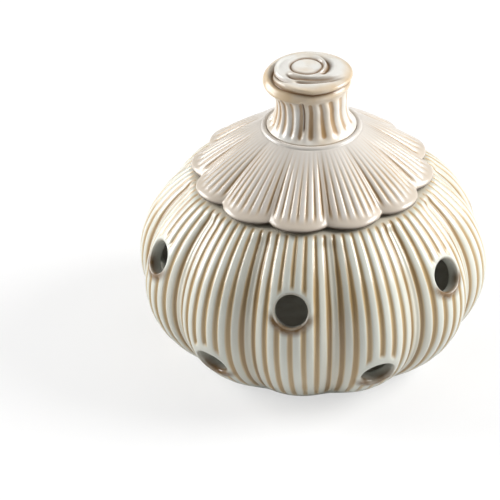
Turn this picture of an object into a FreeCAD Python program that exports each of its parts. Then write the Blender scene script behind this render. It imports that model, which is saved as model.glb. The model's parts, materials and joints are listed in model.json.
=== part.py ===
import FreeCAD, Part
import math
import os

# Stoneware garlic keeper shaped like a bulb of garlic. Sizes are in millimetres.
# The origin is the centre of the foot on the ground and +Z is up. The lobe in
# front, at -Y, has one of the upper vents.

# Lobes and flutes, shared by the jar and the lid
lobe_count = 12
flutes_per_lobe = 7
flute_depth = 1.0

# Jar
belly_radius = 75.0
belly_height = 38.5
crease_depth = 4.4
wall = 5.5
crease_wall = 3.6

# Foot and floor
foot_radius = 45.0
foot_width = 5.0
foot_bevel = 0.6
foot_lift = 1.2
foot_recess = 2.2
base_spread = 4.5
base_curl = 2.0
floor_thickness = 7.0
floor_corner = 2.4

# Mouth, rim and shoulder
mouth_radius = 41.0
mouth_bevel = 0.8
rim_width = 5.6
rim_height = 81.0
rim_thickness = 5.5
rim_crease_depth = 1.2
shoulder_width = 5.6
shoulder_drop = 1.2
smooth_band = 1.4

# Vents
vent_radius = 6.9
vent_bevel = 0.9
upper_vent_height = 56.5
upper_vent_tilt = 20.0
lower_vent_height = 21.5
lower_vent_tilt = -29.0

# Lid
flange_clearance = 1.2
flange_wall = 4.5
flange_depth = 8.5
flange_bevel = 0.8
cusp_cover = 0.4
scallop_depth = 4.6
edge_gap = 0.6
edge_height = 3.0
edge_roll = 1.6
edge_widest = 1.35
dome_rise = 19.4
dome_bulge = 0.6
dome_thickness = 5.5
seat_inset = 1.6
flute_end = 0.72
crown_crease_depth = 0.3

# Bead round the foot of the knob
bead_width = 2.5
bead_height = 1.25
bead_inset = 0.15

# Knob, shaped like the twisted stem
knob_fit = 0.25
knob_reach = 18.7
knob_foot_height = 1.6
knob_neck_radius = 14.5
knob_neck_height = 9.8
knob_throat_radius = 15.8
knob_throat_height = 17.5
knob_flute_count = 18
knob_flute_depth = 0.9
knob_head_radius = 17.4
knob_height = 27.6
knob_top_radius = 6.6
knob_swirl = 1.4
knob_swirl_turn = 420.0

# Sections of the lofts
jar_section_count = 9
inside_section_count = 8
inside_chord_count = 4

# Shares of a piece's own height or wall.
bore_behind_share = 2.5
bore_length_share = 4
knob_low_share = 0.35
knob_throat_share = 0.3
knob_round_share = 0.7

# Worked out from the sizes above
lobe_angle = 360.0 / lobe_count
flute_angle = lobe_angle / flutes_per_lobe
crease_share = crease_depth / belly_radius
flute_share = flute_depth / belly_radius
inside_radius = belly_radius - wall
inside_crease_share = (crease_depth + crease_wall - wall) / inside_radius
rim_radius = mouth_radius + rim_width
shoulder_radius = rim_radius + shoulder_width
shoulder_height = rim_height - shoulder_drop
base_radius = foot_radius + base_spread
lower_reach = belly_height / math.sqrt(1 - (base_radius / belly_radius) ** 2)
upper_reach = (shoulder_height - belly_height) / math.sqrt(1 - (shoulder_radius / belly_radius) ** 2)
lid_radius = rim_radius + cusp_cover + scallop_depth
scallop_share = scallop_depth / lid_radius
lid_top_radius = knob_reach + knob_fit + bead_width + bead_inset
seat_radius = rim_radius - seat_inset
flange_radius = mouth_radius - flange_clearance
flange_inside = flange_radius - flange_wall
edge_underside = rim_height + edge_gap
edge_top = edge_underside + edge_height
dome_radius = lid_radius - edge_roll / 2
lid_top = edge_top + dome_rise


def polar(radius, degrees, height):
    """Point at an angle counted from -Y towards +X."""
    turn = math.radians(degrees - 90)
    return FreeCAD.Vector(radius * math.cos(turn), radius * math.sin(turn), height)


def closed_polygon(points):
    return Part.makePolygon(points + [points[0]])


def flat_faces(strip):
    """A plane for a strip that is flat, and two triangles for one that twists."""
    corners = [vertex.Point for vertex in strip.OuterWire.OrderedVertexes]
    if strip.Surface.isPlanar():
        return [Part.Face(Part.Plane(*corners[:3]), strip.OuterWire)]
    first, second, third, fourth = corners
    return [Part.Face(closed_polygon([first, second, third])), Part.Face(closed_polygon([first, third, fourth]))]


def loft(sections):
    """Closed solid with straight strips from each section to the next."""
    faces = []
    for strip in Part.makeLoft(sections, True, True).Faces:
        faces.extend(flat_faces(strip))
    shell = Part.Shell(faces)
    shell.sewShape()
    return Part.Solid(shell)


def turned(outline):
    """Solid of revolution of a closed outline of (radius, height) corners."""
    face = Part.Face(closed_polygon([FreeCAD.Vector(radius, 0, height) for radius, height in outline]))
    return face.revolve(FreeCAD.Vector(0, 0, 0), FreeCAD.Vector(0, 0, 1), 360)


def lobe_reach(tip, crease, degrees):
    """Distance from the axis to a lobe's arc, at an angle from the lobe's middle."""
    half = math.radians(lobe_angle / 2)
    valley = tip - crease
    half_chord = valley * math.sin(half)
    rise = tip - valley * math.cos(half)
    arc_radius = (half_chord ** 2 + rise ** 2) / (2 * rise)
    centre = tip - arc_radius
    turn = math.radians(degrees)
    return centre * math.cos(turn) + math.sqrt(arc_radius ** 2 - (centre * math.sin(turn)) ** 2)


def ridge_offsets():
    """Angles of the crease and of the ridges across one lobe."""
    edge_ridge = lobe_angle / 2 - flute_angle / 4
    inner = [(step - flutes_per_lobe / 2) * flute_angle for step in range(1, flutes_per_lobe)]
    return [-lobe_angle / 2, -edge_ridge] + inner + [edge_ridge]


def smooth_section(height, tip, crease):
    """Lobes with a corner at each ridge and no grooves."""
    points = []
    for lobe in range(lobe_count):
        for offset in ridge_offsets():
            points.append(polar(lobe_reach(tip, crease, offset), lobe * lobe_angle + offset, height))
    return closed_polygon(points)


def fluted_section(height, tip, crease, depth):
    """The same lobes with a groove between each two ridges."""
    points = []
    for lobe in range(lobe_count):
        ridges = ridge_offsets()
        for place, offset in enumerate(ridges):
            points.append(polar(lobe_reach(tip, crease, offset), lobe * lobe_angle + offset, height))
            if 0 < place <= flutes_per_lobe:
                groove = (place - (flutes_per_lobe + 1) / 2) * flute_angle
                points.append(polar(lobe_reach(tip, crease, groove) - depth, lobe * lobe_angle + groove, height))
    return closed_polygon(points)


def plain_section(height, tip, crease):
    """Lobes of a few chords each, for the inside."""
    points = []
    for lobe in range(lobe_count):
        for chord in range(inside_chord_count):
            offset = chord * lobe_angle / inside_chord_count - lobe_angle / 2
            points.append(polar(lobe_reach(tip, crease, offset), lobe * lobe_angle + offset, height))
    return closed_polygon(points)


def swell(height, radius, below, above):
    """Radius of two half ellipses that meet at the belly."""
    reach = below if height < belly_height else above
    return radius * math.sqrt(1 - ((height - belly_height) / reach) ** 2)


def even_heights(low, high, below, above, count):
    """Heights from low to high that turn by equal steps round the two ellipses."""
    start = -math.asin((belly_height - low) / below)
    end = math.asin((high - belly_height) / above)
    heights = []
    for step in range(count):
        turn = start + (end - start) * step / (count - 1)
        heights.append(belly_height + (below if turn < 0 else above) * math.sin(turn))
    return heights


def jar_tip(height):
    return swell(height, belly_radius, lower_reach, upper_reach)


def jar_field():
    """Fluted lobes from the curled base up to the smooth band under the lid."""
    start = foot_lift + base_curl
    heights = even_heights(start, shoulder_height - smooth_band, lower_reach, upper_reach, jar_section_count)
    sections = [fluted_section(foot_lift, base_radius, base_radius * crease_share, base_radius * flute_share)]
    for height in heights:
        tip = jar_tip(height)
        sections.append(fluted_section(height, tip, tip * crease_share, tip * flute_share))
    return loft(sections)


def jar_shoulder():
    """Smooth band and shoulder, where the flutes stop, up to the flat rim."""
    sections = []
    for height in (shoulder_height - smooth_band, shoulder_height):
        tip = jar_tip(height)
        sections.append(smooth_section(height, tip, tip * crease_share))
    sections.append(smooth_section(rim_height, rim_radius, rim_crease_depth))
    return loft(sections)


def foot_ring():
    inner = foot_radius - foot_width
    top = foot_lift + foot_recess
    return turned([
        (inner, 0), (foot_radius - foot_bevel, 0), (foot_radius, foot_bevel), (foot_radius, top), (inner, top),
    ])


def jar_hollow():
    """Hollow that follows the lobes, with a rounded corner at the floor."""
    low = floor_thickness + floor_corner
    high = rim_height - rim_thickness
    below = lower_reach - wall
    above = upper_reach - wall
    heights = even_heights(low, high, below, above, inside_section_count)
    floor_tip = swell(low, inside_radius, below, above) - 2 * floor_corner
    sections = [plain_section(floor_thickness, floor_tip, floor_tip * inside_crease_share)]
    for height in heights:
        tip = swell(height, inside_radius, below, above)
        sections.append(plain_section(height, tip, tip * inside_crease_share))
    return loft(sections)


def mouth_opening():
    low = rim_height - rim_thickness - wall
    wide = mouth_radius + mouth_bevel
    top = rim_height + wall
    return turned([
        (0, low), (mouth_radius, low), (mouth_radius, rim_height - mouth_bevel), (wide, rim_height), (wide, top),
        (0, top),
    ])


def vent(degrees, height, tilt):
    """Round bore through the wall, with a bevelled mouth on the outside."""
    place = polar(jar_tip(height), degrees, height)
    outward = polar(math.cos(math.radians(tilt)), degrees, math.sin(math.radians(tilt)))
    start = place - outward * bore_behind_share * wall
    bore = Part.makeCylinder(vent_radius, bore_length_share * wall, start, outward)
    bevel = Part.makeCone(vent_radius, vent_radius + 2 * vent_bevel, 2 * vent_bevel,
                          place - outward * vent_bevel, outward)
    return bore.fuse(bevel)


def jar_body():
    cutters = [jar_hollow(), mouth_opening(), Part.makeCylinder(foot_radius - foot_width, foot_recess)]
    for lobe in range(lobe_count):
        if lobe % 2 == 0:
            cutters.append(vent(lobe * lobe_angle, upper_vent_height, upper_vent_tilt))
        else:
            cutters.append(vent(lobe * lobe_angle, lower_vent_height, lower_vent_tilt))
    return jar_field().fuse([jar_shoulder(), foot_ring()]).cut(cutters)


def dome(share):
    """Radius and height of the scallops' ridge line, from the edge's top to the bead."""
    radius = dome_radius + (lid_top_radius - dome_radius) * share
    height = edge_top + dome_rise * share + 4 * dome_bulge * share * (1 - share)
    return radius, height


def lid_field():
    """Scalloped and fluted dome, as far in as the grooves reach."""
    sections = []
    for share in (0, 0.12, 0.4, flute_end):
        radius, height = dome(share)
        sections.append(fluted_section(height, radius, radius * scallop_share, radius * flute_share))
    return loft(sections)


def lid_edge():
    """Smooth rolled border, where the flutes stop."""
    sections = []
    for height, radius in ((edge_underside, lid_radius - edge_roll), (edge_underside + edge_widest, lid_radius),
                           (edge_top, dome_radius)):
        sections.append(smooth_section(height, radius, radius * scallop_share))
    return loft(sections)


def lid_crown():
    """Smooth dome inside the flutes, where the creases run out towards the bead."""
    radius, height = dome(flute_end)
    return loft([
        smooth_section(height, radius, radius * scallop_share),
        smooth_section(lid_top, lid_top_radius, crown_crease_depth),
    ])


def bead():
    """Raised ring that the knob's foot stands in."""
    outer = lid_top_radius - bead_inset
    inner = outer - bead_width
    slope = bead_width / 4
    top = lid_top + bead_height
    return turned([
        (inner, lid_top - bead_height), (inner + slope, top), (outer - slope, top), (outer, lid_top - bead_height),
    ])


def lid_seat_and_flange():
    """Flat seat on the rim and the ring that hangs in the mouth."""
    low = rim_height - flange_depth
    top = edge_underside + edge_gap
    return turned([
        (flange_inside, low), (flange_radius - flange_bevel, low), (flange_radius, low + flange_bevel),
        (flange_radius, rim_height), (seat_radius, rim_height), (seat_radius, top), (flange_inside, top),
    ])


def lid_hollow():
    """Hollow under the dome that follows the scallops, open through the flange."""
    low = rim_height - flange_depth
    spread = dome_thickness / 2
    start = (dome_radius - flange_inside - spread) / (dome_radius - lid_top_radius)
    sections = []
    for share in (start, 1):
        radius, height = dome(share)
        radius -= spread
        sections.append(plain_section(height - dome_thickness, radius, radius * inside_crease_share))
    well = Part.makeCylinder(flange_inside, dome(start)[1] - dome_thickness - low, FreeCAD.Vector(0, 0, low))
    return well.fuse(loft(sections))


def lid():
    return lid_field().fuse([lid_edge(), lid_crown(), bead(), lid_seat_and_flange()]).cut(lid_hollow())


def knob_section(height, radius, depth, shift, shift_turn):
    """Round section with a corner at each ridge and groove, moved off the axis."""
    move = polar(shift, shift_turn, 0)
    points = []
    for step in range(2 * knob_flute_count):
        drop = depth if step % 2 == 0 else 0
        points.append(polar(radius - drop, step * 180.0 / knob_flute_count, height) + move)
    return closed_polygon(points)


def knob_stem():
    """Fluted neck between the foot and the head."""
    share = knob_flute_depth / knob_neck_radius
    low_radius = (knob_reach + knob_neck_radius) / 2
    low = knob_foot_height + (knob_neck_height - knob_foot_height) * knob_low_share
    sections = []
    for height, radius in ((knob_foot_height, knob_reach), (low, low_radius), (knob_neck_height, knob_neck_radius),
                           (knob_throat_height, knob_throat_radius)):
        sections.append(knob_section(lid_top + height, radius, radius * share, 0, 0))
    return loft(sections)


def knob_head():
    """Head whose round sections wander round the axis as they rise, like a twist."""
    base = knob_throat_height - knob_foot_height
    sections = []
    for share in (0, 0.15, 0.3, 0.45, 0.6, 0.75, 0.88, 1):
        rounding = max(0, share * (1 + knob_round_share) - knob_round_share)
        radius = knob_top_radius + (knob_head_radius - knob_top_radius) * math.sqrt(1 - rounding ** 2)
        if share < knob_throat_share:
            widening = (knob_throat_share - share) / knob_throat_share
            radius -= (knob_head_radius - knob_throat_radius) * widening
        height = base + (knob_height - base) * share
        sections.append(knob_section(lid_top + height, radius, 0, knob_swirl, knob_swirl_turn * share))
    return loft(sections)


def lid_knob():
    foot = turned([
        (0, lid_top), (knob_reach, lid_top), (knob_reach, lid_top + knob_foot_height),
        (0, lid_top + knob_foot_height),
    ])
    return foot.fuse([knob_stem(), knob_head()])


def save(shape, name):
    shape = shape.removeSplitter()
    print(name, "valid", shape.isValid(), "solids", len(shape.Solids), "volume", round(shape.Volume))
    shape.exportStep("parts/" + name + ".step")


os.makedirs("parts", exist_ok=True)
save(jar_body(), "jar_body")
save(lid(), "lid")
save(lid_knob(), "lid_knob")
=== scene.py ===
import json
import math

import bpy
from mathutils import Matrix, Vector, noise

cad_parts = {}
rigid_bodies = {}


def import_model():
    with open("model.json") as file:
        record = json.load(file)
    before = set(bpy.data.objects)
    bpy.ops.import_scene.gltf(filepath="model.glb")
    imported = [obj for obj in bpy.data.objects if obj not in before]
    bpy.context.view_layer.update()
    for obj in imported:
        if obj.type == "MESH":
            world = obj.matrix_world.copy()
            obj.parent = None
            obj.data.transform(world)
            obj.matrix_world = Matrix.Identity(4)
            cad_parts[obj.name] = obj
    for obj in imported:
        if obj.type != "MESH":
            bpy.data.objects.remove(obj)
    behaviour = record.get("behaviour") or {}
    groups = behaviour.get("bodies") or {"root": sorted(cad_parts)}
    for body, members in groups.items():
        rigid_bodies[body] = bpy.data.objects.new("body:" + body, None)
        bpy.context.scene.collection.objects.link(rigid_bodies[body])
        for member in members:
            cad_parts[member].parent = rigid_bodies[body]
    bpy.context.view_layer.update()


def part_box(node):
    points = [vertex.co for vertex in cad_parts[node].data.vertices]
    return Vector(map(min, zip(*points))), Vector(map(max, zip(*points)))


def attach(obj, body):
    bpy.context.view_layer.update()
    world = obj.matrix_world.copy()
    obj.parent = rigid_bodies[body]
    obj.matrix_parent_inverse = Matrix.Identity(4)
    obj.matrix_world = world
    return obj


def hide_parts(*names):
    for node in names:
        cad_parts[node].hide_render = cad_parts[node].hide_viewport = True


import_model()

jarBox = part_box("jar_body")
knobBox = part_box("lid_knob")

# Angles are counted from -Y towards +X and heights from the ground. Lengths are in metres.
fluting = dict(lobes=12, flutes=7, grooveWidth=0.62, ridgeCrown=0.2)


def mathNode(tree, operation, *values):
    node = tree.nodes.new("ShaderNodeMath")
    node.operation = operation
    for slot, value in enumerate(values):
        if isinstance(value, Term):
            tree.links.new(value.socket, node.inputs[slot])
        else:
            node.inputs[slot].default_value = value
    return Term(tree, node.outputs[0])


# A float socket that can stand in a formula.
class Term:
    def __init__(self, tree, socket):
        self.tree = tree
        self.socket = socket

    def __add__(self, other):
        return mathNode(self.tree, "ADD", self, other)

    def __sub__(self, other):
        return mathNode(self.tree, "SUBTRACT", self, other)

    def __rsub__(self, other):
        return mathNode(self.tree, "SUBTRACT", other, self)

    def __mul__(self, other):
        return mathNode(self.tree, "MULTIPLY", self, other)

    def __truediv__(self, other):
        return mathNode(self.tree, "DIVIDE", self, other)

    def __rtruediv__(self, other):
        return mathNode(self.tree, "DIVIDE", other, self)

    def sin(self):
        return mathNode(self.tree, "SINE", self)

    def cos(self):
        return mathNode(self.tree, "COSINE", self)

    def root(self):
        return mathNode(self.tree, "SQRT", self)

    def size(self):
        return mathNode(self.tree, "ABSOLUTE", self)

    def wrapped(self, half):
        return mathNode(self.tree, "WRAP", self, half, half * -1)

    def clamped(self):
        lowered = mathNode(self.tree, "MINIMUM", self, 1.0)
        return mathNode(self.tree, "MAXIMUM", lowered, 0.0)


# Lobes and flutes as a rule: each point reads its turn, its tip radius, its height, how deep the crease is
# there and how much of the flute is left, and goes to its place on the fluted sheet.
def flutedTree(material):
    tree = bpy.data.node_groups.new("flutedSheet", "GeometryNodeTree")
    tree.interface.new_socket(name="Sheet", in_out="INPUT", socket_type="NodeSocketGeometry")
    for name in ("Lobes", "Flutes per Lobe", "Flute Depth", "Groove Width", "Ridge Crown"):
        tree.interface.new_socket(name=name, in_out="INPUT", socket_type="NodeSocketFloat")
    tree.interface.new_socket(name="Sheet", in_out="OUTPUT", socket_type="NodeSocketGeometry")
    start = tree.nodes.new("NodeGroupInput")

    def given(name):
        return Term(tree, start.outputs[name])

    def read(name):
        node = tree.nodes.new("GeometryNodeInputNamedAttribute")
        node.data_type = "FLOAT"
        node.inputs["Name"].default_value = name
        return Term(tree, node.outputs["Attribute"])

    turn, tip, height = read("turn"), read("tip"), read("height")
    half = math.pi / given("Lobes")
    across = turn.wrapped(half)
    valley = tip * (1 - read("creaseShare"))
    halfChord = valley * half.sin()
    rise = tip - valley * half.cos()
    arc = (halfChord * halfChord + rise * rise) / (rise * 2)
    middle = tip - arc
    side = middle * across.sin()
    lobe = middle * across.cos() + (arc * arc - side * side).root()

    fluteHalf = half / given("Flutes per Lobe")
    toRidge = (across.wrapped(fluteHalf) / fluteHalf).size()
    bowl = ((toRidge / given("Groove Width")).clamped() * math.pi).cos() * 0.5 + 0.5
    crown = (1 - toRidge) * (1 - toRidge) * given("Ridge Crown")
    reach = lobe - (bowl + crown) * given("Flute Depth") * read("fluteLeft")

    place = tree.nodes.new("ShaderNodeCombineXYZ")
    for slot, value in enumerate((reach * turn.sin(), reach * turn.cos() * -1, height)):
        tree.links.new(value.socket, place.inputs[slot])
    move = tree.nodes.new("GeometryNodeSetPosition")
    tree.links.new(start.outputs["Sheet"], move.inputs["Geometry"])
    tree.links.new(place.outputs[0], move.inputs["Position"])
    flow = move.outputs["Geometry"]
    for name, value in (("groove", 1 - toRidge), ("crease", across.size() / half)):
        store = tree.nodes.new("GeometryNodeStoreNamedAttribute")
        store.data_type = "FLOAT"
        store.domain = "POINT"
        store.inputs["Name"].default_value = name
        tree.links.new(flow, store.inputs["Geometry"])
        tree.links.new(value.socket, store.inputs["Value"])
        flow = store.outputs["Geometry"]
    real = tree.nodes.new("GeometryNodeRealizeInstances")
    finish = tree.nodes.new("GeometryNodeSetMaterial")
    finish.inputs["Material"].default_value = material
    end = tree.nodes.new("NodeGroupOutput")
    tree.links.new(flow, real.inputs["Geometry"])
    tree.links.new(real.outputs["Geometry"], finish.inputs["Geometry"])
    tree.links.new(finish.outputs["Geometry"], end.inputs["Sheet"])
    return tree


# Sends a sheet through the tree and gives back where its points went, and their grooves and creases.
# Each spot of the sheet is (turn, tip, height, creaseShare, fluteLeft).
def flutedPlaces(tree, spots, faces, depth):
    mesh = bpy.data.meshes.new("sheet")
    mesh.from_pydata([around(spot[1], spot[0], spot[2]) for spot in spots], [], faces)
    for slot, name in enumerate(("turn", "tip", "height", "creaseShare", "fluteLeft")):
        mark = mesh.attributes.new(name, "FLOAT", "POINT")
        mark.data.foreach_set("value", [spot[slot] for spot in spots])
    sheet = bpy.data.objects.new("sheet", mesh)
    bpy.context.scene.collection.objects.link(sheet)
    modifier = sheet.modifiers.new("fluted", "NODES")
    modifier.node_group = tree
    values = {
        "Lobes": float(fluting["lobes"]), "Flutes per Lobe": float(fluting["flutes"]), "Flute Depth": depth,
        "Groove Width": fluting["grooveWidth"], "Ridge Crown": fluting["ridgeCrown"],
    }
    for item in tree.interface.items_tree:
        if item.item_type == "SOCKET" and item.in_out == "INPUT" and item.name in values:
            modifier[item.identifier] = values[item.name]
    evaluated = sheet.evaluated_get(bpy.context.evaluated_depsgraph_get())
    result = bpy.data.meshes.new_from_object(evaluated)
    placed = [vertex.co.copy() for vertex in result.vertices]
    kept = {}
    for name in ("groove", "crease"):
        kept[name] = [0.0] * len(placed)
        result.attributes[name].data.foreach_get("value", kept[name])
    sheet.modifiers.clear()
    bpy.data.objects.remove(sheet)
    bpy.data.meshes.remove(mesh)
    bpy.data.meshes.remove(result)
    return placed, kept


# A mesh under way: points with their marks, and faces.
class Clay:
    def __init__(self, *names):
        self.points, self.faces = [], []
        self.marks = {name: [] for name in names}

    def point(self, place, **marks):
        self.points.append(Vector(place))
        for name, numbers in self.marks.items():
            numbers.append(marks.get(name, 0.0))
        return len(self.points) - 1

    def rings(self, path, count, **marks):
        made = []
        for radius, height in path:
            turns = [2 * math.pi * step / count for step in range(count)]
            made.append([self.point(around(radius, turn, height), **marks) for turn in turns])
        return made

    def join(self, rings):
        for low, high in zip(rings, rings[1:]):
            for step in range(len(low)):
                after = (step + 1) % len(low)
                self.faces.append((low[step], low[after], high[after], high[step]))

    # Joins a fine ring below to a coarse ring above, or the other way round where flip is set.
    def stitch(self, fine, coarse, flip=False):
        share = len(fine) // len(coarse)
        middle = share // 2
        for step in range(len(coarse)):
            after = (step + 1) % len(coarse)
            run = [fine[(step * share + extra) % len(fine)] for extra in range(share + 1)]
            made = [(run[extra], run[extra + 1], coarse[step]) for extra in range(middle)]
            made.append((run[middle], coarse[after], coarse[step]))
            made += [(run[extra], run[extra + 1], coarse[after]) for extra in range(middle, share)]
            self.faces += [turned(face, flip) for face in made]

    def cap(self, ring, place, flip=False, **marks):
        pole = self.point(place, **marks)
        for step in range(len(ring)):
            self.faces.append(turned((ring[step], ring[(step + 1) % len(ring)], pole), flip))

    # Joins two loops that go the same way round and have different counts, by their angles.
    def zip(self, first, firstAngles, second, secondAngles):
        one = two = 0
        while one < len(first) or two < len(second):
            nextOne = firstAngles[(one + 1) % len(first)] + 2 * math.pi * ((one + 1) // len(first))
            nextTwo = secondAngles[(two + 1) % len(second)] + 2 * math.pi * ((two + 1) // len(second))
            atOne, atTwo = first[one % len(first)], second[two % len(second)]
            if two >= len(second) or (one < len(first) and nextOne <= nextTwo):
                one += 1
                self.faces.append((atOne, first[one % len(first)], atTwo))
            else:
                two += 1
                self.faces.append((atOne, second[two % len(second)], atTwo))

    def build(self, name, material):
        mesh = bpy.data.meshes.new(name)
        mesh.from_pydata(self.points, [], self.faces)
        for mark, numbers in self.marks.items():
            mesh.attributes.new(mark, "FLOAT", "POINT").data.foreach_set("value", numbers)
        mesh.materials.append(material)
        mesh.polygons.foreach_set("use_smooth", [True] * len(mesh.polygons))
        mesh.update()
        piece = bpy.data.objects.new(name, mesh)
        bpy.context.scene.collection.objects.link(piece)
        return piece


def turned(face, flip):
    return tuple(reversed(face)) if flip else face


def around(radius, turn, height):
    return Vector((radius * math.sin(turn), -radius * math.cos(turn), height))


def wrapTurn(turn):
    return (turn + math.pi) % (2 * math.pi) - math.pi


def smoothStep(low, high, value):
    share = min(1.0, max(0.0, (value - low) / (high - low)))
    return share * share * (3 - 2 * share)


def bell(value, width):
    return math.exp(-(value / width) ** 2)


def curve(start, startPull, end, endPull, count):
    places = []
    stops = (start, startPull, end, endPull)
    for step in range(count):
        t = step / (count - 1)
        weights = ((1 - t) ** 3, 3 * t * (1 - t) ** 2, 3 * t * t * (1 - t), t ** 3)
        places.append(tuple(sum(w * s[axis] for w, s in zip(weights, stops)) for axis in (0, 1)))
    return places


# Corners of (radius, height, rounding) turned into a path with each corner rounded off.
def roundedPath(corners, steps=4):
    path = [corners[0][:2]]
    for before, corner, after in zip(corners, corners[1:], corners[2:]):
        rounding = corner[2]
        if not rounding:
            path.append(corner[:2])
            continue
        ends = []
        for other in (before, after):
            share = rounding / math.dist(corner[:2], other[:2])
            ends.append([corner[axis] + (other[axis] - corner[axis]) * share for axis in (0, 1)])
        for step in range(steps + 1):
            t = step / steps
            weights = ((1 - t) ** 2, 2 * t * (1 - t), t * t)
            stops = (ends[0], corner, ends[1])
            path.append(tuple(sum(w * s[axis] for w, s in zip(weights, stops)) for axis in (0, 1)))
    return path + [corners[-1][:2]]


def gridFace(row, column, columns):
    low, high, after = row * columns, (row + 1) * columns, (column + 1) % columns
    return low + column, low + after, high + after, high + column


# An outline of (radius, height) with its length measured, read by distance along it.
class Outline:
    def __init__(self, places):
        self.places = places
        self.along = [0.0]
        for before, after in zip(places, places[1:]):
            self.along.append(self.along[-1] + math.dist(before, after))
        self.length = self.along[-1]

    def at(self, distance):
        distance = min(self.length, max(0.0, distance))
        low, high = 0, len(self.along) - 1
        while high - low > 1:
            middle = (low + high) // 2
            if self.along[middle] <= distance:
                low = middle
            else:
                high = middle
        share = (distance - self.along[low]) / max(1e-9, self.along[high] - self.along[low])
        return tuple(a + (b - a) * share for a, b in zip(self.places[low], self.places[high]))

    def nearest(self, radius, height):
        return min(zip(self.along, self.places), key=lambda item: math.dist(item[1], (radius, height)))[0]


jar = dict(
    bellyRadius=0.075, bellyHeight=0.0385, creaseShare=0.060, fluteDepth=0.00085,
    wallFrom=0.0045, wallTo=0.0030, baseSpread=0.0045, curlPull=0.0032, curlOut=0.0030,
    footRadius=0.045, footWidth=0.005, footLift=0.0012, footStep=0.0012, footRecess=0.0022,
    recessRings=(0.012, 0.028), footFlat=0.0006,
    rimRadius=0.0466, mouthRadius=0.041, rimThickness=0.0055, rimFlat=0.0019, underReach=0.0050,
    shoulderWidth=0.0056, shoulderDrop=0.0012, shoulderPull=0.0034,
    wall=0.0055, floor=0.007, floorRings=(0.75, 0.5, 0.25), insideShare=0.036, insideFade=0.004,
    # The last number on the next line darkens the whole inside with painted shade.
    insideFrom=0.0045, insideTo=0.0012, insideCorner=0.0125, insidePaintedShade=0.3,
    # where the flutes, the creases and the band at the rim fade, counted from the rim or the ground
    fluteTop=(0.0002, 0.0010), fluteFoot=(0.0036, 0.0095), creaseFoot=(0.0012, 0.0042),
    creaseTop=0.0050, creaseLeft=0.16, band=0.8, bandTop=(0.0014, 0.0004),
    columns=672, rows=104, insideColumns=168, insideRows=44,
)
jar["rimHeight"] = jarBox[1][2]

vents = dict(
    radius=0.0069, lip=0.0013, lipSteps=6, innerLip=0.0008, innerEdge=0.0024,
    collar=0.0084, collarFade=0.0016, reach=0.018,
    duskDrop=0.006, duskFade=(0.0122, 0.0080), lowerLipDusk=0.75, lipDusk=0.42,
    upper=dict(height=0.0565, tilt=20.0, first=0, above=0.0),
    lower=dict(height=0.0215, tilt=-29.0, first=1, above=0.0030),
)


def swell(height, radius, below, above):
    reach = below if height < jar["bellyHeight"] else above
    return radius * math.sqrt(1 - ((height - jar["bellyHeight"]) / reach) ** 2)


# How far the two half ellipses of the wall reach below and above the belly.
def ellipseReaches():
    belly, bellyHeight = jar["bellyRadius"], jar["bellyHeight"]
    base = jar["footRadius"] + jar["baseSpread"]
    shoulder = jar["rimRadius"] + jar["shoulderWidth"]
    shoulderHeight = jar["rimHeight"] - jar["shoulderDrop"]
    below = bellyHeight / math.sqrt(1 - (base / belly) ** 2)
    above = (shoulderHeight - bellyHeight) / math.sqrt(1 - (shoulder / belly) ** 2)
    return below, above


def ellipseWall(radius, low, high, below, above, steps):
    bellyHeight = jar["bellyHeight"]
    start = -math.asin((bellyHeight - low) / below)
    end = math.asin((high - bellyHeight) / above)
    places = []
    for step in range(steps + 1):
        turn = start + (end - start) * step / steps
        height = bellyHeight + (below if turn < 0 else above) * math.sin(turn)
        places.append((swell(height, radius, below, above), height))
    return places


# The point some way past the first of two places, in line with them.
def beyond(place, other, way):
    slope = (place[0] - other[0], place[1] - other[1])
    share = way / math.hypot(*slope)
    return place[0] + slope[0] * share, place[1] + slope[1] * share


def jarOutline():
    below, above = ellipseReaches()
    high = jar["rimHeight"] - jar["wallTo"]
    body = ellipseWall(jar["bellyRadius"], jar["wallFrom"], high, below, above, 89)
    foot = (jar["footRadius"] + jar["footStep"], jar["footLift"])
    curlEnd = beyond(body[0], body[1], jar["curlPull"])
    curl = curve(foot, (foot[0] + jar["curlOut"], foot[1]), curlEnd, body[0], 14)
    rim = (jar["rimRadius"], jar["rimHeight"])
    pull = jar["shoulderPull"]
    shoulder = curve(body[-1], beyond(body[-1], body[-2], pull), (rim[0] + pull, rim[1]), rim, 14)
    return Outline(curl[:-1] + body + shoulder[1:])


def insideOutline():
    below, above = ellipseReaches()
    wall, low = jar["wall"], jar["floor"] + jar["insideFrom"]
    high = jar["rimHeight"] - jar["rimThickness"] - jar["insideTo"]
    body = ellipseWall(jar["bellyRadius"] - wall, low, high, below - wall, above - wall, 59)
    radius, height = body[0]
    floor = (radius - jar["insideCorner"], jar["floor"])
    corner = curve(floor, (floor[0] + 0.006, floor[1]), (radius - 0.0032, height - 0.0025), body[0], 8)
    return Outline(corner[:-1] + body)


# The lobes' rule again, without flutes, for the inside.
def lobeReach(tip, share, turn):
    half = math.pi / fluting["lobes"]
    across = (turn + half) % (2 * half) - half
    valley = tip * (1 - share)
    halfChord = valley * math.sin(half)
    rise = tip - valley * math.cos(half)
    arc = (halfChord ** 2 + rise ** 2) / (2 * rise)
    middle = tip - arc
    return middle * math.cos(across) + math.sqrt(arc ** 2 - (middle * math.sin(across)) ** 2)


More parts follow.
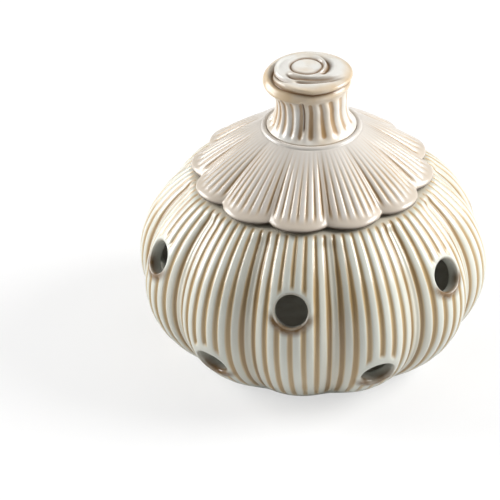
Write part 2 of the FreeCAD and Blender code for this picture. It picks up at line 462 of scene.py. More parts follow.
def ventList(outline):
    found = []
    below, above = ellipseReaches()
    for tier in (vents["upper"], vents["lower"]):
        radius = swell(tier["height"], jar["bellyRadius"], below, above)
        tilt = math.radians(tier["tilt"])
        for lobe in range(tier["first"], fluting["lobes"], 2):
            turn = 2 * math.pi * lobe / fluting["lobes"]
            outward = around(math.cos(tilt), turn, math.sin(tilt))
            sideways = Vector((math.cos(turn), math.sin(turn), 0))
            found.append(dict(
                turn=turn, centre=around(radius, turn, tier["height"]), radius=radius, above=tier["above"],
                outward=outward, sideways=sideways, upward=sideways.cross(outward) * -1,
                along=outline.nearest(radius, tier["height"]),
            ))
    return found


# A place on the sheet as seen from a vent: how far sideways and how far up.
def fromVent(vent, turn, distance):
    return wrapTurn(turn - vent["turn"]) * vent["radius"], distance - vent["along"]


# A sheet of rows and columns over an outline, left open round each vent with a clean round edge.
def ventedSheet(outline, rows, columns, openings, edgeRadius):
    spots = []
    for row in range(rows):
        distance = outline.length * row / (rows - 1)
        for column in range(columns):
            spots.append([2 * math.pi * column / columns, distance])
    owner = {}
    reach, perRow = edgeRadius * 2.5, (rows - 1) / outline.length
    for number, vent in enumerate(openings):
        firstRow = max(0, int((vent["along"] - reach) * perRow))
        lastRow = min(rows - 1, int((vent["along"] + reach) * perRow) + 1)
        for spot in range(firstRow * columns, (lastRow + 1) * columns):
            if math.hypot(*fromVent(vent, *spots[spot])) < edgeRadius:
                owner[spot] = number
    faces, edges = [], {}
    for row in range(rows - 1):
        for column in range(columns):
            face = gridFace(row, column, columns)
            inside = [owner[spot] for spot in face if spot in owner]
            if inside:
                edges.setdefault(inside[0], set()).update(spot for spot in face if spot not in owner)
            else:
                faces.append(face)
    loops = []
    for number, vent in enumerate(openings):
        loop = []
        for spot in edges[number]:
            sideways, upward = fromVent(vent, *spots[spot])
            share = edgeRadius / math.hypot(sideways, upward)
            spots[spot][0] = vent["turn"] + sideways * share / vent["radius"]
            spots[spot][1] = vent["along"] + upward * share
            loop.append((math.atan2(upward, sideways), spot))
        loops.append([spot for angle, spot in sorted(loop)])
    return spots, faces, loops, set(owner)


# How much of a flute is left beside the vents, and how brown the glaze is under them.
def ventEffect(openings, turn, distance):
    left, dusk = 1.0, 0.0
    collar, fade, reach = vents["collar"], vents["collarFade"], vents["reach"]
    for vent in openings:
        sideways, upward = fromVent(vent, turn, distance)
        if abs(sideways) > reach or abs(upward) > reach:
            continue
        if upward > 0:
            upward *= collar / (collar + vent["above"])
        away = math.hypot(sideways, upward)
        left = min(left, smoothStep(collar, collar + fade, away))
        dusk = max(dusk, smoothStep(0.0, vents["duskDrop"], -upward) * smoothStep(*vents["duskFade"], away))
    return left, dusk


# How deep the inner wall lies behind a vent's centre, found in a few steps because that wall curves.
def depthInside(vent, offset):
    wall = depth = jar["wall"]
    below, above = ellipseReaches()
    tilt = math.hypot(vent["outward"].x, vent["outward"].y)
    for attempt in range(6):
        place = vent["centre"] + offset - vent["outward"] * depth
        tip = swell(place.z, jar["bellyRadius"] - wall, below - wall, above - wall)
        wallReach = lobeReach(tip, jar["insideShare"], math.atan2(place.x, -place.y))
        depth += (math.hypot(place.x, place.y) - wallReach) / tilt
    return depth


# The rounded lip, the bore and the inner lip of one vent, from its loop outside to its loop inside.
def boreVent(clay, vent, outer, inner):
    def angle(spot):
        away = clay.points[spot] - vent["centre"]
        return math.atan2(away.dot(vent["upward"]), away.dot(vent["sideways"]))

    outer, inner = sorted(outer, key=angle), sorted(inner, key=angle)
    angles = [angle(spot) for spot in outer]
    lip, innerLip, lipSteps = vents["lip"], vents["innerLip"], vents["lipSteps"]
    inward = ((0.0, innerLip), (0.3 * innerLip, 0.3 * innerLip), (innerLip, 0.0))
    rings = [outer] + [[] for step in range(lipSteps + len(inward))]
    for spot, turn in zip(outer, angles):
        start = clay.points[spot]
        toEdge = vent["sideways"] * math.cos(turn) + vent["upward"] * math.sin(turn)
        high = (start - vent["centre"]).dot(vent["outward"])
        bore = vent["centre"] + toEdge * vents["radius"] + vent["outward"] * (high - lip)
        drop = vent["outward"] * -lip
        across = bore - start - drop
        low = vents["lowerLipDusk"] * smoothStep(0.3, -0.9, math.sin(turn))
        for step in range(1, lipSteps + 1):
            t = math.pi / 2 * step / lipSteps
            place = start + across * math.sin(t) + drop * (1 - math.cos(t))
            rings[step].append(clay.point(place, dusk=max(low, vents["lipDusk"] * math.sin(2 * t) ** 2)))
        deep = depthInside(vent, toEdge * (vents["radius"] + innerLip))
        for step, (wider, back) in enumerate(inward):
            place = vent["centre"] + toEdge * (vents["radius"] + wider) - vent["outward"] * (deep - back)
            rings[lipSteps + 1 + step].append(clay.point(place))
    clay.join(rings)
    clay.zip(rings[-1], angles, inner, [angle(spot) for spot in inner])


# The fluted outside, and what the other parts of the jar join on to: its lowest and highest rings and the
# loops round the vents.
def jarOutside(clay, tree, outline, openings):
    columns, rows, rim = jar["columns"], jar["rows"], jar["rimHeight"]
    edge = vents["radius"] + vents["lip"]
    spots, faces, loops, gone = ventedSheet(outline, rows, columns, openings, edge)
    sheet, dusks = [], []
    for turn, distance in spots:
        tip, height = outline.at(distance)
        left, dusk = ventEffect(openings, turn, distance)
        left *= smoothStep(*jar["fluteTop"], rim - height) * smoothStep(*jar["fluteFoot"], height)
        share = jar["creaseShare"] * smoothStep(*jar["creaseFoot"], height)
        fade = smoothStep(0.0, jar["creaseTop"], rim - height)
        share *= jar["creaseLeft"] + (1 - jar["creaseLeft"]) * fade
        sheet.append((turn, tip, height, share, left))
        dusks.append(dusk)
    placed, kept = flutedPlaces(tree, sheet, faces, jar["fluteDepth"])
    new = {}
    for spot, place in enumerate(placed):
        if spot in gone:
            continue
        height, left = sheet[spot][2], sheet[spot][4]
        band = jar["band"] * smoothStep(*jar["bandTop"], rim - height)
        new[spot] = clay.point(place, groove=kept["groove"][spot], crease=kept["crease"][spot], field=left,
                               band=band, dusk=dusks[spot])
    clay.faces += [tuple(new[spot] for spot in face) for face in faces]
    lowest = [new[column] for column in range(columns)]
    highest = [new[(rows - 1) * columns + column] for column in range(columns)]
    return lowest, highest, [[new[spot] for spot in loop] for loop in loops]


# The unglazed foot ring and the recess inside it.
def jarFoot(clay, lowest):
    ring, lift, recess = jar["footRadius"], jar["footLift"], jar["footRecess"]
    inner = ring - jar["footWidth"]
    corners = [(radius, recess, 0) for radius in jar["recessRings"]]
    corners += [(inner, recess, 0.0009), (inner, 0, 0.0006), (ring, 0, 0.0006), (ring, lift, 0.0004),
                (ring + jar["footFlat"], lift, 0)]
    rings = clay.rings(roundedPath(corners), jar["insideColumns"], bare=1.0)
    clay.join(rings)
    clay.cap(rings[0], (0, 0, recess), flip=True, bare=1.0)
    clay.stitch(lowest, rings[-1], flip=True)


# The lobed inside, with a loop for each vent, darkened all over with painted shade.
def jarInside(clay, inside, openings):
    count, rows, floor, dusk = jar["insideColumns"], jar["insideRows"], jar["floor"], jar["insidePaintedShade"]
    within = []
    for vent in openings:
        middle = vent["centre"] - vent["outward"] * depthInside(vent, Vector((0, 0, 0)))
        radius = math.hypot(middle.x, middle.y)
        within.append(dict(vent, radius=radius, along=inside.nearest(radius, middle.z)))
    edge = vents["radius"] + vents["innerEdge"]
    spots, faces, loops, gone = ventedSheet(inside, rows, count, within, edge)
    new = {}
    for spot, (turn, distance) in enumerate(spots):
        if spot in gone:
            continue
        tip, height = inside.at(distance)
        share = jar["insideShare"] * smoothStep(floor, floor + jar["insideFade"], height)
        new[spot] = clay.point(around(lobeReach(tip, share, turn), turn, height), dusk=dusk)
    clay.faces += [tuple(new[spot] for spot in reversed(face)) for face in faces]
    lowest = [new[column] for column in range(count)]
    highest = [new[(rows - 1) * count + column] for column in range(count)]
    return lowest, highest, [[new[spot] for spot in loop] for loop in loops]


def jarBody(tree, material):
    clay = Clay("groove", "crease", "field", "band", "dusk", "bare")
    outline, inside = jarOutline(), insideOutline()
    openings = ventList(outline)
    lowest, highest, loops = jarOutside(clay, tree, outline, openings)
    jarFoot(clay, lowest)
    insideLowest, insideHighest, insideLoops = jarInside(clay, inside, openings)
    for vent, outer, inner in zip(openings, loops, insideLoops):
        boreVent(clay, vent, outer, inner)

    mouth, top, floor, count = jar["mouthRadius"], jar["rimHeight"], jar["floor"], jar["insideColumns"]
    under = top - jar["rimThickness"]
    corners = [(jar["rimRadius"] - jar["rimFlat"], top, 0), (mouth, top, 0.0012), (mouth, under, 0.0016),
               (mouth + jar["underReach"], under, 0)]
    throat = clay.rings(roundedPath(corners, 5), count)
    clay.stitch(highest, throat[0])
    clay.join(throat + [insideHighest])
    reach = inside.at(0)[0]
    floorPath = [(reach * share, floor) for share in jar["floorRings"]]
    # The inside floor carries the same painted shade.
    rings = [insideLowest] + clay.rings(floorPath, count, dusk=jar["insidePaintedShade"])
    clay.join(rings)
    clay.cap(rings[-1], (0, 0, floor), dusk=jar["insidePaintedShade"])
    return clay.build("jarBody", material)


lid = dict(
    radius=0.0516, scallopShare=0.0891, crownScallop=0.10, scallopPower=0.6, fluteDepth=0.00085,
    # the rolled edge, as steps out from the radius and up from the edge's underside
    edgeUnder=0.0006, edgePath=((-0.0020, 0.0), (-0.0006, 0.0001), (0.0, 0.0007), (0.0, 0.0015)),
    rollPath=((0.0, 0.0024), (-0.0012, 0.0029), (-0.0022, 0.0036)), domeBulge=0.0006, domeSteps=69,
    crownRadius=0.0216, beadRadius=0.0012, beadCentre=0.02005, beadSteps=10,
    seat=0.0434, flangeRadius=0.0398, flangeWall=0.0045, flangeDepth=0.0085,
    domeThickness=0.0055, ceilingRing=0.008, hollowShoulder=0.004, hollowDrop=0.0105, seatFlat=0.0012,
    fluteCrown=(0.0190, 0.0440), fluteEdge=(0.0016, 0.0052), plainEdge=0.0015,
    # The second pair here sets where painted shadow darkens the underside of the rolled edge.
    borderEdge=(0.0046, 0.0020), duskEdge=(0.0021, 0.0009),
    columns=588, rows=60, insideColumns=147,
)
lid["top"] = knobBox[0][2]


def lidOutline():
    edge, radius = jar["rimHeight"] + lid["edgeUnder"], lid["radius"]
    stops = [(radius + out, edge + up) for out, up in lid["edgePath"] + lid["rollPath"]]
    under, roll = curve(*stops[:4], 9), curve(*stops[3:], 12)
    start, crown = roll[-1], (lid["crownRadius"], lid["top"])
    slope = math.dist(start, crown)
    normal = ((crown[1] - start[1]) / slope, (start[0] - crown[0]) / slope)
    dome = []
    for step in range(1, lid["domeSteps"] + 1):
        t = step / lid["domeSteps"]
        lift = lid["domeBulge"] * 4 * t * (1 - t)
        radius = start[0] + (crown[0] - start[0]) * t + normal[0] * lift
        dome.append((radius, start[1] + (crown[1] - start[1]) * t + normal[1] * lift))
    return Outline(under + roll[1:] + dome)


def lidOutside(clay, tree):
    outline = lidOutline()
    columns, rows = lid["columns"], lid["rows"]
    sheet, faces = [], []
    for row in range(rows):
        tip, height = outline.at(outline.length * row / (rows - 1))
        share = max(0.0, (tip - lid["crownRadius"]) / (lid["radius"] - lid["crownRadius"]))
        share = lid["crownScallop"] + (1 - lid["crownScallop"]) * share ** lid["scallopPower"]
        left = smoothStep(*lid["fluteCrown"], tip) * smoothStep(*lid["fluteEdge"], lid["radius"] - tip)
        if height < jar["rimHeight"] + lid["edgeUnder"] + lid["plainEdge"]:
            left = 0.0
        for column in range(columns):
            sheet.append((2 * math.pi * column / columns, tip, height, lid["scallopShare"] * share, left))
    for row in range(rows - 1):
        faces += [gridFace(row, column, columns) for column in range(columns)]
    placed, kept = flutedPlaces(tree, sheet, faces, lid["fluteDepth"])
    for spot, place in enumerate(placed):
        tip, height, left = sheet[spot][1], sheet[spot][2], sheet[spot][4]
        border = smoothStep(*lid["borderEdge"], lid["radius"] - tip)
        # Painted shadow: a dark line on the underside of the rolled edge, where it overhangs the rim.
        dusk = smoothStep(*lid["duskEdge"], height - jar["rimHeight"] - lid["edgeUnder"])
        clay.point(place, groove=kept["groove"][spot], crease=kept["crease"][spot], field=left,
                   band=border, dusk=dusk)
    clay.faces += faces
    return list(range(columns)), list(range((rows - 1) * columns, rows * columns))


# The hollow, the flange that drops into the mouth, and the seat on the rim.
def lidUnderside(clay, lowest):
    rim, edge, seat = jar["rimHeight"], jar["rimHeight"] + lid["edgeUnder"], lid["seat"]
    flange, inner = lid["flangeRadius"], lid["flangeRadius"] - lid["flangeWall"]
    low, ceiling = rim - lid["flangeDepth"], lid["top"] - lid["domeThickness"]
    shoulder = lid["crownRadius"] - lid["hollowShoulder"]
    corners = [(lid["ceilingRing"], ceiling, 0), (shoulder, ceiling, 0.003),
               (inner, ceiling - lid["hollowDrop"], 0.002), (inner, low, 0.0008), (flange, low, 0.0008),
               (flange, rim, 0.0006), (seat, rim, 0.0003), (seat, edge, 0.0003),
               (seat + lid["seatFlat"], edge, 0)]
    rings = clay.rings(roundedPath(corners), lid["insideColumns"])
    clay.join(rings)
    clay.cap(rings[0], (0, 0, ceiling), flip=True)
    clay.stitch(lowest, rings[-1], flip=True)


def lidShell(tree, material):
    clay = Clay("groove", "crease", "field", "band", "dusk", "bare")
    lowest, highest = lidOutside(clay, tree)
    lidUnderside(clay, lowest)
    bead = []
    for step in range(lid["beadSteps"] + 1):
        turn = math.pi * step / lid["beadSteps"]
        bead.append((lid["beadCentre"] + lid["beadRadius"] * math.cos(turn),
                     lid["top"] + lid["beadRadius"] * math.sin(turn)))
    rings = clay.rings(bead, lid["insideColumns"])
    clay.stitch(highest, rings[0])
    clay.join(rings)
    clay.cap(rings[-1], (0, 0, lid["top"]))
    return clay.build("lidShell", material)


knob = dict(
    foot=0.0189, footHeight=0.0012, neck=0.0148, neckHeight=0.0098, stemTop=0.0086,
    head=0.0186, headHeight=0.0228, disc=0.0064, discDip=0.0005,
    flutes=22, crowding=5.0, phase=-1.7, unevenness=2.2, fluteDepth=0.00075, grainAround=1.7, grainUp=45,
    # the wound fold: where it starts, reaches the rim and ends, and how far out from the disc it gets
    windStart=math.radians(50), rimTurn=math.radians(375), windEnd=math.radians(716),
    windOut=0.0018, topRun=0.0124, sideRun=0.0045,
    fold=0.0015, foldWidth=0.0011, foldLip=0.40, foldLine=0.0009, lineShift=0.0002,
    pleats=(dict(start=-2.55, length=2.35, out=0.0082, spread=-0.0016),
            dict(start=-0.85, length=2.35, out=0.0037, spread=0.0065),
            dict(start=-0.35, length=1.85, out=0.0057, spread=0.0060)),
    pleatWidth=0.85, pleatLine=0.0007,
    discStep=0.0008, discStepOut=0.0003, discStepWidth=0.0007, discLine=0.9,
    tail=-0.07, tailSlant=4, tailFrom=0.0165, tailDepth=0.0009, tailWidth=0.00045,
    # the head's uneven shape
    pinch=0.115, swell=0.0015, swellTurn=-0.95, swellHeight=0.0200, swellWidth=0.0020,
    droop=0.0016, droopTurn=-1.15, lean=0.0014, discLean=0.0008, discBack=0.0016,
    columns=280, rows=170,
)
knob["height"] = knobBox[1][2] - knobBox[0][2]


# One edge of a fold, for a gap counted outwards: a lip, a steep drop into a notch and a gentle way out.
def foldEdge(gap, width):
    reach = 0.55 * width if gap < 0 else 1.5 * width
    return knob["foldLip"] * bell(gap + 1.5 * width, width) - bell(gap, reach)


# How far out from the disc the wound fold has its edge, for a turn that goes on counting.
def windingAt(turn):
    top = max(0.0, (turn - knob["windStart"]) / (knob["rimTurn"] - knob["windStart"]))
    if top < 1:
        return knob["windOut"] + knob["topRun"] * top ** 1.5
    side = (turn - knob["rimTurn"]) / (knob["windEnd"] - knob["rimTurn"])
    return knob["windOut"] + knob["topRun"] + knob["sideRun"] * side ** 4


# How high the folds stand at a place on the head, and how strong their brown line is there.
def knobRelief(turn, out):
    relief, line = 0.0, 0.0
    width, start, end, shift = knob["foldWidth"], knob["windStart"], knob["windEnd"], knob["lineShift"]
    for lap in range(3):
        wound = turn % (2 * math.pi) + lap * 2 * math.pi
        weight = smoothStep(start - 0.2, start + 0.3, wound) * smoothStep(end + 0.04, end - 0.04, wound)
        if weight > 0:
            gap = out - windingAt(wound)
            relief += weight * foldEdge(gap, width)
            line = max(line, weight * bell(gap - shift, knob["foldLine"]))
    for pleat in knob["pleats"]:
        along = wrapTurn(turn - pleat["start"]) / pleat["length"]
        weight = smoothStep(-0.06, 0.12, along) * smoothStep(1.0, 0.7, along) * (1 - 0.35 * along)
        if weight > 0:
            gap = out - pleat["out"] - pleat["spread"] * max(0.0, along) ** 3
            relief += weight * foldEdge(gap, knob["pleatWidth"] * width)
            line = max(line, weight * bell(gap - shift, knob["pleatLine"]))
    step = bell(out - knob["discStepOut"], knob["discStepWidth"])
    return relief * knob["fold"] - step * knob["discStep"], max(line, knob["discLine"] * step)


# Four curves: the flared stem, the side of the head, its crown and the flat disc. Their pulls are given.
def knobOutline():
    foot, neck, head, disc = knob["foot"], knob["neck"], knob["head"], knob["disc"]
    low, waist, rim, top = knob["footHeight"], knob["neckHeight"], knob["headHeight"], knob["height"]
    stem = curve((foot, low), (neck - 0.0002, low + 0.0036), (neck - 0.0004, waist + 0.0030),
                 (neck + 0.0014, waist + 0.0084), 60)
    side = curve(stem[-1], (neck + 0.0022, waist + 0.0106), (head, rim - 0.0024), (head, rim), 26)
    crown = curve(side[-1], (head, rim + 0.0036), (disc + 0.0090, top - 0.0002), (disc, top), 40)
    flat = []
    for step in range(1, 13):
        share = step / 12
        flat.append((disc + (0.0004 - disc) * share, top - knob["discDip"] * share ** 2))
    return Outline([(foot - 0.0001, 0.0001)] + stem + side[1:] + crown[1:] + flat)


# 1 on the side that a turn points to, and 0 on the far side.
def facing(turn, side, power):
    return (0.5 + 0.5 * math.cos(turn - side)) ** power


def lidKnob(material):
    outline = knobOutline()
    columns, rows, base = knob["columns"], knob["rows"], lid["top"]
    discAt = outline.nearest(knob["disc"], knob["height"])
    stemTop = knob["neckHeight"] + knob["stemTop"]
    clay = Clay("groove", "crease", "band", "dusk")
    rings = []
    for row in range(rows):
        distance = outline.length * row / (rows - 1)
        radius, height = outline.at(distance)
        ahead, behind = outline.at(distance + 0.0003), outline.at(distance - 0.0003)
        length = math.dist(ahead, behind)
        normal = ((ahead[1] - behind[1]) / length, (behind[0] - ahead[0]) / length)
        head = smoothStep(knob["neckHeight"] + 0.0035, knob["headHeight"], height)
        fold = smoothStep(stemTop - 0.0022, stemTop, height)
        stem = smoothStep(0.0012, 0.0040, height) * smoothStep(stemTop + 0.0012, stemTop - 0.0012, height)
        tailEnds = smoothStep(0.0045, 0.0075, height) * smoothStep(stemTop + 0.0012, stemTop, height)
        toDisc = smoothStep(discAt - 0.0125, discAt, distance)
        side = head * (1 - toDisc)
        crease = smoothStep(0.0014, 0.0, height)
        band = head * smoothStep(discAt - 0.0075, discAt - 0.0125, distance)
        ring = []
        for column in range(columns):
            turn = 2 * math.pi * column / columns
            grain = Vector((math.sin(turn), math.cos(turn), 0)) * knob["grainAround"]
            grain.z = height * knob["grainUp"]
            wobble = noise.noise(grain)
            phase = knob["flutes"] * turn + knob["crowding"] * math.cos(turn) + knob["phase"]
            bowl = (0.5 + 0.5 * math.cos(phase + knob["unevenness"] * wobble)) ** 1.1
            slant = knob["tailSlant"] * max(0.0, height - knob["tailFrom"])
            fromTail = wrapTurn(turn - knob["tail"] - slant) * knob["neck"]
            tail = bell(fromTail, knob["tailWidth"]) * tailEnds
            relief, line = 0.0, 0.0
            if fold > 0:
                relief, line = knobRelief(turn, discAt - distance)
            depth = knob["fluteDepth"] * bowl * stem * (0.8 + 0.9 * wobble) + knob["tailDepth"] * tail
            move = relief * fold - depth
            pinch = 1 - knob["pinch"] * facing(turn, 0, 3) * side
            droop = knob["droop"] * facing(turn, knob["droopTurn"], 4) * side
            swelling = knob["swell"] * facing(turn, knob["swellTurn"], 3)
            swelling *= bell(height - knob["swellHeight"], knob["swellWidth"])
            reach = (radius + normal[0] * move) * pinch + swelling
            place = around(reach, turn, base + height + normal[1] * move - droop)
            place.x -= knob["lean"] * head + knob["discLean"] * toDisc
            place.y += knob["discBack"] * toDisc
            ring.append(clay.point(place, groove=bowl * stem, crease=crease, band=band,
                                   dusk=max(line * fold, tail)))
        rings.append(ring)
    clay.join(rings)
    dip = base + knob["height"] - knob["discDip"]
    clay.cap(rings[-1], (-knob["lean"] - knob["discLean"], knob["discBack"], dip))
    clay.cap(rings[0], (0, 0, base + 0.0001), flip=True)
    return clay.build("knob", material)


# Colours as they show in the picture, from 0 to 255 for each of red, green and blue.
# The crease colour is partly brown glaze pooled in the creases and partly painted shade.
glaze = dict(crease=(112, 84, 46), clay=(196, 172, 140), roughness=0.32, coat=0.45, coatRoughness=0.13)
# The jar's last colour is brown glaze pooled round the vents and, inside the jar, painted shade.
jarColours = dict(ridge=(212, 214, 204), tan=(205, 184, 146), groove=(172, 142, 94), band=(196, 182, 158),
                  dusk=(112, 84, 46), creaseShare=0.12)
# The lid's last colour, near black, is painted shadow along the underside of its edge.
lidColours = dict(ridge=(210, 204, 196), tan=(204, 185, 156), groove=(184, 152, 108), band=(200, 187, 170),
                  dusk=(62, 48, 32), creaseShare=0.40)
knobColours = dict(pale=(224, 222, 216), tan=(207, 184, 150), brown=(174, 140, 96), line=(124, 94, 58))


def linearPart(value):
    if value <= 0.04045:
        return value / 12.92
    return ((value + 0.055) / 1.055) ** 2.4


# A material under way, mixed from marks on the mesh and clouds of noise.
class Paint:
    def __init__(self, name):
        self.material = bpy.data.materials.new(name)
        self.material.use_nodes = True
        self.tree = self.material.node_tree
        self.shader = self.tree.nodes["Principled BSDF"]
        self.place = self.tree.nodes.new("ShaderNodeTexCoord").outputs["Object"]

    def mark(self, name):
        node = self.tree.nodes.new("ShaderNodeAttribute")
        node.attribute_name = name
        return Term(self.tree, node.outputs["Fac"])

    def between(self, value, low, high):
        node = self.tree.nodes.new("ShaderNodeMapRange")
        node.interpolation_type = "SMOOTHSTEP"
        self.tree.links.new(value.socket, node.inputs["Value"])
        node.inputs["From Min"].default_value = low
        node.inputs["From Max"].default_value = high
        return Term(self.tree, node.outputs["Result"])

    def cloud(self, scale, detail=3.0, upright=1.0):
        mapping = self.tree.nodes.new("ShaderNodeMapping")
        mapping.inputs["Scale"].default_value = (1, 1, upright)
        self.tree.links.new(self.place, mapping.inputs["Vector"])
        node = self.tree.nodes.new("ShaderNodeTexNoise")
        node.inputs["Scale"].default_value = scale
        node.inputs["Detail"].default_value = detail
        self.tree.links.new(mapping.outputs["Vector"], node.inputs["Vector"])
        return Term(self.tree, node.outputs["Fac"])

    # Lays a colour over what is there, as far as share says.
    def lay(self, share, under, over):
        node = self.tree.nodes.new("ShaderNodeMix")
        node.data_type = "RGBA"
        sockets = [socket for socket in node.inputs if socket.type == "RGBA"]
        self.tree.links.new(share.clamped().socket, node.inputs["Factor"])
        for socket, colour in zip(sockets, (under, over)):
            if isinstance(colour, tuple):
                socket.default_value = [linearPart(value / 255) for value in colour] + [1.0]
            else:
                self.tree.links.new(colour, socket)
        return [socket for socket in node.outputs if socket.type == "RGBA"][0]

    def finish(self, colour, rough, bump=0.05):
        self.tree.links.new(colour, self.shader.inputs["Base Color"])
        self.tree.links.new(rough.socket, self.shader.inputs["Roughness"])
        self.shader.inputs["Coat Weight"].default_value = glaze["coat"]
        self.shader.inputs["Coat Roughness"].default_value = glaze["coatRoughness"]
        node = self.tree.nodes.new("ShaderNodeBump")
        node.inputs["Strength"].default_value = bump
        node.inputs["Distance"].default_value = 0.0004
        self.tree.links.new(self.cloud(260.0, 2.0).socket, node.inputs["Height"])
        self.tree.links.new(node.outputs["Normal"], self.shader.inputs["Normal"])
        return self.material


# The glaze breaks pale over the ridges and pools brown in the grooves, browner towards the creases, where
# painted shade darkens it as well.
def flutedGlaze(name, colours):
    paint = Paint(name)
    field, bare = paint.mark("field"), paint.mark("bare").clamped()
    blotch, streak = paint.cloud(38.0), paint.cloud(85.0, 2.0, 0.10)
    inGroove = paint.mark("groove") + (streak - 0.5) * 0.45
    thin = paint.between(inGroove, 0.42, 0.64) * field
    pooled = paint.between(inGroove, 0.56, 0.80) * field
    darker = paint.between(paint.mark("crease"), 0.35, 0.98)
    share = colours["creaseShare"]
    amount = pooled * (darker * share + (1 - share)) * (streak * 0.9 + 0.50)
    # Brown glaze pooled round the vents, with painted shade over the jar's inside and painted shadow under
    # the lid's edge.
    dusk = paint.mark("dusk") * (paint.cloud(160.0) * 1.6 + 0.35)
    body = paint.lay(paint.mark("band") * 0.85 + (blotch - 0.45) * 0.4, colours["ridge"], colours["band"])
    body = paint.lay(thin * (1 - share), body, colours["tan"])
    body = paint.lay(amount, body, colours["groove"])
    # Near the creases the grooves turn deeper brown and the whole field darkens: partly pooled glaze, partly
    # painted shade.
    body = paint.lay(darker * darker * darker * pooled * 0.70, body, glaze["crease"])
    body = paint.lay(darker * darker * field * 0.22, body, colours["groove"])
    body = paint.lay(dusk, body, colours["dusk"])
    body = paint.lay(bare, body, glaze["clay"])
    return paint.finish(body, bare * 0.4 + (amount * 0.06 + glaze["roughness"]))


def knobGlaze():
    paint = Paint("knobGlaze")
    pale, tan, brown = knobColours["pale"], knobColours["tan"], knobColours["brown"]
    blotch, streak = paint.cloud(60.0, 3.0, 0.5), paint.cloud(120.0, 3.0, 0.25)
    inGroove = paint.mark("groove") + (streak - 0.5) * 1.1
    body = paint.lay((blotch - 0.46) * 2.6, pale, tan)
    body = paint.lay(paint.mark("band") * (streak * 1.6 + 0.1), body, tan)
    body = paint.lay(paint.between(inGroove, 0.35, 0.85) * (blotch * 1.7 - 0.05), body, brown)
    body = paint.lay(paint.mark("crease") * 0.9, body, brown)
    body = paint.lay(paint.mark("dusk") * (streak * 0.8 + 0.75), body, knobColours["line"])
    return paint.finish(body, blotch * 0.1 + glaze["roughness"], 0.04)


studio = dict(
    floorSize=6.0, floorDrop=0.0001, floorTone=0.90, floorBounce=0.74, floorGlow=0.62, sky=0.22,
    lights=(dict(name="rightLight", place=(1.18, 0.20, 0.78), size=0.9, power=26.0),
            dict(name="leftLight", place=(-1.22, 0.14, 0.52), size=0.9, power=20.0),
            dict(name="topLight", place=(0.15, 0.55, 1.30), size=1.2, power=2.5)),
    aim=(0, 0, 0.05),
)


def softLight(name, place, size, power):
    lamp = bpy.data.lights.new(name, "AREA")
    lamp.shape = "DISK"
    lamp.size = size
    lamp.energy = power
    light = bpy.data.objects.new(name, lamp)
    light.location = place
    light.rotation_euler = (Vector(place) - Vector(studio["aim"])).to_track_quat("Z", "Y").to_euler()
    bpy.context.scene.collection.objects.link(light)


# The floor looks near white to the camera and throws less light back than it seems to.
def floorPaint():
    material = bpy.data.materials.new("floorWhite")
    material.use_nodes = True
    tree = material.node_tree
    tree.nodes.clear()
    bounce, seen = tree.nodes.new("ShaderNodeBsdfDiffuse"), tree.nodes.new("ShaderNodeBsdfDiffuse")
    for node, tone in ((bounce, studio["floorBounce"]), (seen, studio["floorTone"])):
        node.inputs["Color"].default_value = (tone, tone, tone, 1)
    glow = tree.nodes.new("ShaderNodeEmission")
    path = tree.nodes.new("ShaderNodeLightPath")
    lifted, whole = tree.nodes.new("ShaderNodeMixShader"), tree.nodes.new("ShaderNodeMixShader")
    lifted.inputs["Fac"].default_value = studio["floorGlow"]
    tree.links.new(seen.outputs[0], lifted.inputs[1])
    tree.links.new(glow.outputs[0], lifted.inputs[2])
    tree.links.new(path.outputs["Is Camera Ray"], whole.inputs["Fac"])
    tree.links.new(bounce.outputs[0], whole.inputs[1])
    tree.links.new(lifted.outputs[0], whole.inputs[2])
    tree.links.new(whole.outputs[0], tree.nodes.new("ShaderNodeOutputMaterial").inputs["Surface"])
    return material


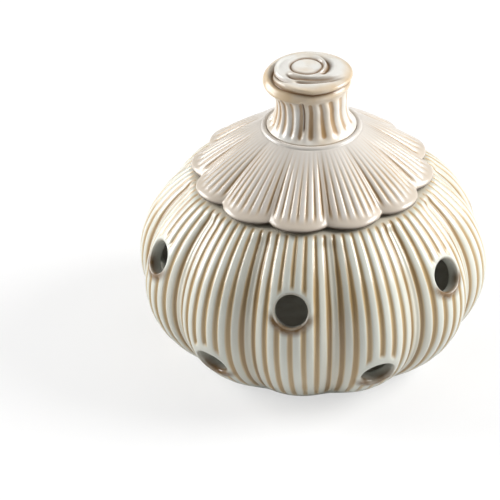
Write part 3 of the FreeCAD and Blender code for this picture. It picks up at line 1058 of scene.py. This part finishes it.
def buildStudio():
    bpy.ops.mesh.primitive_plane_add(size=studio["floorSize"], location=(0, 0, -studio["floorDrop"]))
    floor = bpy.context.object
    floor.name = "floor"
    floor.data.materials.append(floorPaint())
    for light in studio["lights"]:
        softLight(**light)
    world = bpy.data.worlds.new("studioSky")
    world.use_nodes = True
    tree = world.node_tree
    background = tree.nodes["Background"]
    seen = Term(tree, tree.nodes.new("ShaderNodeLightPath").outputs["Is Camera Ray"])
    strength = seen * (1 - studio["sky"]) + studio["sky"]  # white where the camera sees it
    background.inputs["Color"].default_value = (1, 1, 1, 1)
    tree.links.new(strength.socket, background.inputs["Strength"])
    bpy.context.scene.world = world
    bpy.context.scene.view_settings.view_transform = "Standard"


# Worked out from the rim, the scallops, the vents and the lobes' tips. Focal length and frame are in pixels.
camera = dict(focal=3000.0, frame=500.0, distance=1.28938, elevation=31.8454, turn=7.3144,
              yaw=-1.19025, pitch=-0.28731, roll=-0.32312, target=0.050)


def swung(first, second, degrees):
    cos, sin = math.cos(math.radians(degrees)), math.sin(math.radians(degrees))
    return first * cos + second * sin, second * cos - first * sin


def buildCamera():
    rise = math.radians(camera["elevation"])
    back = Vector((0, -math.cos(rise), math.sin(rise)))
    ahead, right = -back, Vector((1, 0, 0))
    up = right.cross(ahead)
    ahead, right = swung(ahead, right, camera["yaw"])
    ahead, up = swung(ahead, up, camera["pitch"])
    right, up = swung(right, up, camera["roll"])
    pose = Matrix((right, up, -ahead)).transposed().to_4x4()
    pose.translation = Vector((0, 0, camera["target"])) + back * camera["distance"]
    lens = bpy.data.cameras.new("camera")
    lens.sensor_width = 36.0
    lens.lens = lens.sensor_width * camera["focal"] / camera["frame"]
    viewer = bpy.data.objects.new("camera", lens)
    viewer.matrix_world = Matrix.Rotation(math.radians(camera["turn"]), 4, "Z") @ pose
    bpy.context.scene.collection.objects.link(viewer)
    bpy.context.scene.camera = viewer


def main():
    jarPaint, lidPaint = flutedGlaze("jarGlaze", jarColours), flutedGlaze("lidGlaze", lidColours)
    body = jarBody(flutedTree(jarPaint), jarPaint)
    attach(body, "jar")
    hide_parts("jar_body")
    print("jar body:", len(body.data.polygons), "faces")
    cover = lidShell(flutedTree(lidPaint), lidPaint)
    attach(cover, "lid")
    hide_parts("lid")
    print("lid:", len(cover.data.polygons), "faces")
    top = lidKnob(knobGlaze())
    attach(top, "lid")
    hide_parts("lid_knob")
    print("knob:", len(top.data.polygons), "faces")
    buildStudio()
    buildCamera()
    print("studio and camera ready")


main()
